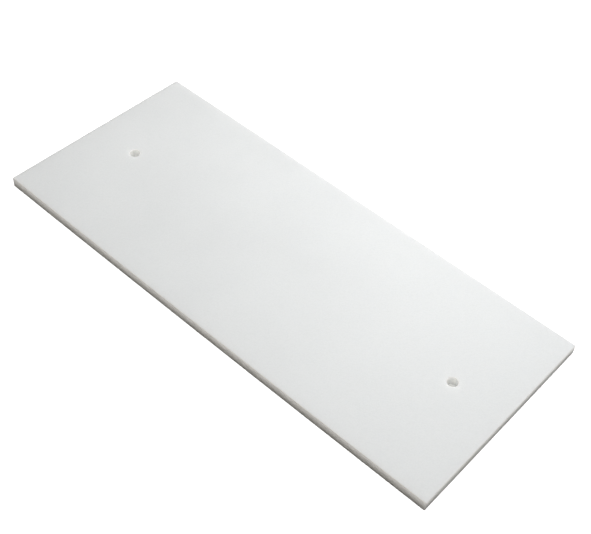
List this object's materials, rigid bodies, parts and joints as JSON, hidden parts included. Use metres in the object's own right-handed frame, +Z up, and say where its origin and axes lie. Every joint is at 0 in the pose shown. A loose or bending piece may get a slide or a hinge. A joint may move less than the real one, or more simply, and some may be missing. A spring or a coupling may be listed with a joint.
{
  "type": "diving board",
  "caption": "Flat rectangular plank of white polyethylene sheet for a low diving or jump board, with a plain bolt hole drilled through on the centreline near each end.",
  "frame": {"origin": "centre of the underside, which is also the bottom centre of the bounding box", "axes": "+X along the board's length, +Y across its width, +Z up out of the tread face"},
  "size_m": [0.9398, 0.4064, 0.0191],
  "materials": {
    "white_polyethylene": "solid, slightly translucent natural white polyethylene: fine pebble grain on both faces, sawn and eased edges, drilled holes"
  },
  "bodies": {
    "root": {"board": "white_polyethylene"}
  },
  "joints": []
}
